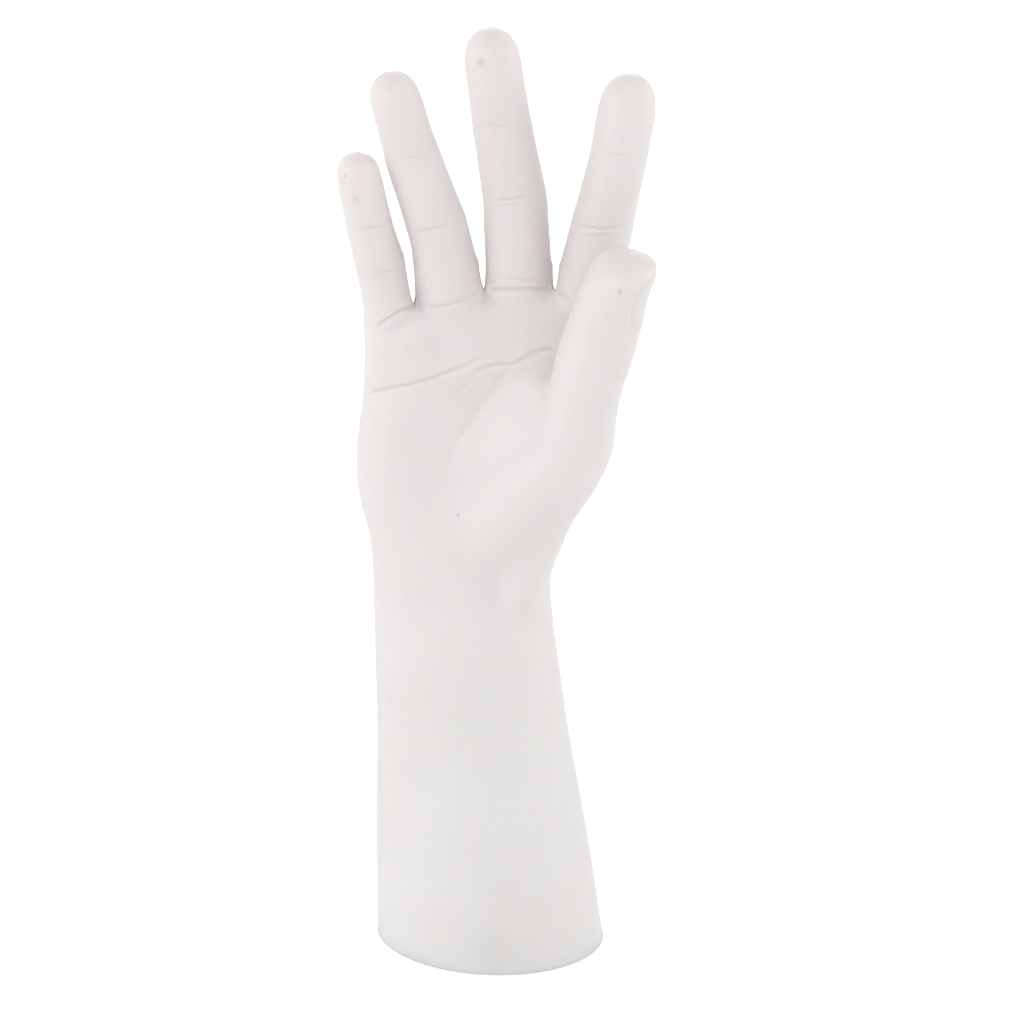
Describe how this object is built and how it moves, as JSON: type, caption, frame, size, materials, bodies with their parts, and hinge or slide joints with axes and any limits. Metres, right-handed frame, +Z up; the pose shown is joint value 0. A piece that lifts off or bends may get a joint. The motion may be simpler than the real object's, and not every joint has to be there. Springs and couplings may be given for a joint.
{
  "type": "display hand",
  "caption": "Upright life-size display hand: a hollow moulded hand and forearm with spread fingers, palm open, standing on its flat cut end, which a bonded plate closes.",
  "frame": {"origin": "centre of the flat standing face at the cut end of the forearm", "axes": "+Z up along the forearm towards the fingertips, -Y the way the palm faces, +X the thumb's side"},
  "size_m": [0.0854, 0.0856, 0.2789],
  "materials": {
    "moulded_vinyl": "white slush-moulded soft vinyl, satin skin",
    "plate_plastic": "white cut sheet plastic, matt"
  },
  "bodies": {
    "root": {"hand_shell": "moulded_vinyl", "base_plate": "plate_plastic"}
  },
  "joints": []
}
